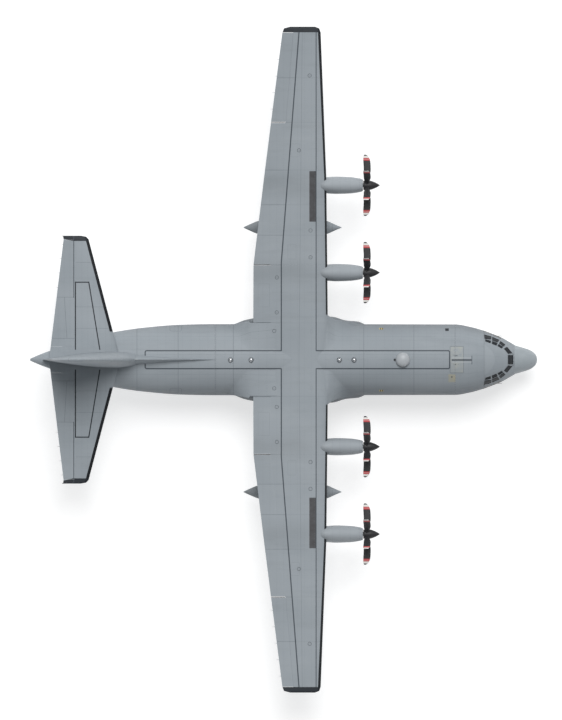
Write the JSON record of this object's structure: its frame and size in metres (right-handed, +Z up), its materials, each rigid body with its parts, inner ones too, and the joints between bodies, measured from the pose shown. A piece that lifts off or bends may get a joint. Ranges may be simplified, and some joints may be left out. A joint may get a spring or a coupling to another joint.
{
  "type": "four-engined military transport aircraft, 1:2 scale model",
  "caption": "High-winged military transport aircraft with turboprop engines, tail ramp and retractable wheels, as a half-size model.",
  "frame": {"origin": "on the ground below the middle of the aircraft's length, on its plane of symmetry", "axes": "+X towards the nose, +Y towards the left wing tip, +Z up"},
  "size_m": [15.38, 20.2, 5.92],
  "materials": {
    "grey_skin": "matt grey paint on aluminium",
    "radome_grey": "grey coated radome",
    "dome_grey": "satin light grey",
    "grey_composite": "matt grey paint on composite",
    "engine_metal": "bare metal",
    "window_glass": "dark tinted glass",
    "interior_paint": "painted interior",
    "gear_white": "white gloss paint",
    "wheel_metal": "painted wheel",
    "tyre_rubber": "black rubber",
    "propeller_black": "matt black, with striped tips"
  },
  "bodies": {
    "airframe": {"nose_section": "grey_skin", "centre_fuselage": "grey_skin", "aft_fuselage": "grey_skin", "wing_centre": "grey_skin", "wing_outer_left": "grey_skin", "wing_outer_right": "grey_skin", "nacelle_1": "grey_skin", "nacelle_2": "grey_skin", "nacelle_3": "grey_skin", "nacelle_4": "grey_skin", "fuel_tank_left": "grey_skin", "fuel_tank_right": "grey_skin", "tailplane": "grey_skin", "fin": "grey_skin", "main_gear_door_left": "grey_skin", "main_gear_door_right": "grey_skin", "paratroop_door_left": "grey_skin", "paratroop_door_right": "grey_skin", "radome": "radome_grey", "satcom_dome": "dome_grey", "engine_1": "engine_metal", "engine_2": "engine_metal", "engine_3": "engine_metal", "engine_4": "engine_metal", "cockpit_glass": "window_glass", "flight_deck": "interior_paint", "cargo_floor": "interior_paint", "nose_gear_bay": "interior_paint", "main_gear_legs_left": "gear_white", "main_gear_legs_right": "gear_white", "nose_gear_leg": "gear_white"},
    "propeller_1": {"propeller_1": "propeller_black"},
    "propeller_2": {"propeller_2": "propeller_black"},
    "propeller_3": {"propeller_3": "propeller_black"},
    "propeller_4": {"propeller_4": "propeller_black"},
    "main_wheel_left_front": {"main_tyre_left_front": "tyre_rubber", "main_hub_left_front": "wheel_metal"},
    "main_wheel_left_rear": {"main_tyre_left_rear": "tyre_rubber", "main_hub_left_rear": "wheel_metal"},
    "main_wheel_right_front": {"main_tyre_right_front": "tyre_rubber", "main_hub_right_front": "wheel_metal"},
    "main_wheel_right_rear": {"main_tyre_right_rear": "tyre_rubber", "main_hub_right_rear": "wheel_metal"},
    "nose_steering": {"nose_fork": "gear_white"},
    "nose_wheels": {"nose_tyre_left": "tyre_rubber", "nose_tyre_right": "tyre_rubber", "nose_hub_left": "wheel_metal", "nose_hub_right": "wheel_metal"},
    "cargo_ramp": {"cargo_ramp": "grey_skin"},
    "cargo_door": {"cargo_door": "grey_skin"},
    "crew_door": {"crew_door": "grey_skin"},
    "flap_inner_left": {"flap_inner_left": "grey_composite"},
    "flap_outer_left": {"flap_outer_left": "grey_composite"},
    "aileron_left": {"aileron_left": "grey_composite"},
    "elevator_left": {"elevator_left": "grey_composite"},
    "flap_inner_right": {"flap_inner_right": "grey_composite"},
    "flap_outer_right": {"flap_outer_right": "grey_composite"},
    "aileron_right": {"aileron_right": "grey_composite"},
    "elevator_right": {"elevator_right": "grey_composite"},
    "rudder": {"rudder": "grey_composite"}
  },
  "joints": [
    {"name": "propeller_1_spin", "type": "hinge", "parent": "airframe", "child": "propeller_1", "pos_m": [2.52, 5.29, 2.14097], "axis": [1, 0, 0], "continuous": true},
    {"name": "propeller_2_spin", "type": "hinge", "parent": "airframe", "child": "propeller_2", "pos_m": [2.52, 2.64, 2.02527], "axis": [1, 0, 0], "continuous": true},
    {"name": "propeller_3_spin", "type": "hinge", "parent": "airframe", "child": "propeller_3", "pos_m": [2.52, -2.64, 2.02527], "axis": [1, 0, 0], "continuous": true},
    {"name": "propeller_4_spin", "type": "hinge", "parent": "airframe", "child": "propeller_4", "pos_m": [2.52, -5.29, 2.14097], "axis": [1, 0, 0], "continuous": true},
    {"name": "main_wheel_left_front_spin", "type": "hinge", "parent": "airframe", "child": "main_wheel_left_front", "pos_m": [0.855, 1.0875, 0.355], "axis": [0, 1, 0], "continuous": true},
    {"name": "main_wheel_left_rear_spin", "type": "hinge", "parent": "airframe", "child": "main_wheel_left_rear", "pos_m": [0.095, 1.0875, 0.355], "axis": [0, 1, 0], "continuous": true},
    {"name": "main_wheel_right_front_spin", "type": "hinge", "parent": "airframe", "child": "main_wheel_right_front", "pos_m": [0.855, -1.0875, 0.355], "axis": [0, 1, 0], "continuous": true},
    {"name": "main_wheel_right_rear_spin", "type": "hinge", "parent": "airframe", "child": "main_wheel_right_rear", "pos_m": [0.095, -1.0875, 0.355], "axis": [0, 1, 0], "continuous": true},
    {"name": "nose_steer", "type": "hinge", "parent": "airframe", "child": "nose_steering", "pos_m": [6.1, 0, 0.58], "axis": [0, 0, 1], "range_deg": [-60, 60]},
    {"name": "nose_wheels_spin", "type": "hinge", "parent": "nose_steering", "child": "nose_wheels", "pos_m": [6.1, 0, 0.2475], "axis": [0, 1, 0], "continuous": true},
    {"name": "cargo_ramp_lower", "type": "hinge", "parent": "airframe", "child": "cargo_ramp", "pos_m": [-2.0753, 0, 0.31], "axis": [0, -1, 0], "range_deg": [0, 26]},
    {"name": "cargo_door_raise", "type": "hinge", "parent": "airframe", "child": "cargo_door", "pos_m": [-5.275, 0, 1.66], "axis": [0, -1, 0], "range_deg": [0, 31]},
    {"name": "crew_door_open", "type": "hinge", "parent": "airframe", "child": "crew_door", "pos_m": [4.8, 0.735, 0.4925], "axis": [-1, 0, 0], "range_deg": [0, 95]},
    {"name": "flap_inner_left_lower", "type": "hinge", "parent": "airframe", "child": "flap_inner_left", "pos_m": [-0.39, 2.86, 2.04987], "axis": [0, -0.999, -0.0436], "range_deg": [0, 36]},
    {"name": "flap_outer_left_lower", "type": "hinge", "parent": "airframe", "child": "flap_outer_left", "pos_m": [-0.38849, 2.89, 2.05118], "axis": [-0.0998, -0.9941, -0.0434], "range_deg": [0, 36]},
    {"name": "aileron_left_turn", "type": "hinge", "parent": "airframe", "child": "aileron_left", "pos_m": [0.04568, 7.218, 2.59015], "axis": [0.0845, 0.9955, 0.0435], "range_deg": [-15, 25]},
    {"name": "elevator_left_turn", "type": "hinge", "parent": "airframe", "child": "elevator_left", "pos_m": [-6.375, 0.4, 2.49], "axis": [0, 1, 0], "range_deg": [-15, 40]},
    {"name": "flap_inner_right_lower", "type": "hinge", "parent": "airframe", "child": "flap_inner_right", "pos_m": [-0.39, -2.86, 2.04987], "axis": [0, -0.999, 0.0436], "range_deg": [0, 36]},
    {"name": "flap_outer_right_lower", "type": "hinge", "parent": "airframe", "child": "flap_outer_right", "pos_m": [-0.38849, -2.89, 2.05118], "axis": [0.0998, -0.9941, 0.0434], "range_deg": [0, 36]},
    {"name": "aileron_right_turn", "type": "hinge", "parent": "airframe", "child": "aileron_right", "pos_m": [0.04568, -7.218, 2.59015], "axis": [-0.0845, 0.9955, -0.0435], "range_deg": [-25, 15]},
    {"name": "elevator_right_turn", "type": "hinge", "parent": "airframe", "child": "elevator_right", "pos_m": [-6.375, -0.4, 2.49], "axis": [0, 1, 0], "range_deg": [-15, 40]},
    {"name": "rudder_turn", "type": "hinge", "parent": "airframe", "child": "rudder", "pos_m": [-6.55141, 0, 2.65], "axis": [-0.0281, 0, 0.9996], "range_deg": [-35, 35]}
  ],
  "couplings": [
    {"joint": "flap_outer_left_lower", "follows": "flap_inner_left_lower", "ratio": 1},
    {"joint": "flap_inner_right_lower", "follows": "flap_inner_left_lower", "ratio": 1},
    {"joint": "flap_outer_right_lower", "follows": "flap_inner_left_lower", "ratio": 1},
    {"joint": "elevator_right_turn", "follows": "elevator_left_turn", "ratio": 1},
    {"joint": "aileron_right_turn", "follows": "aileron_left_turn", "ratio": -1}
  ]
}
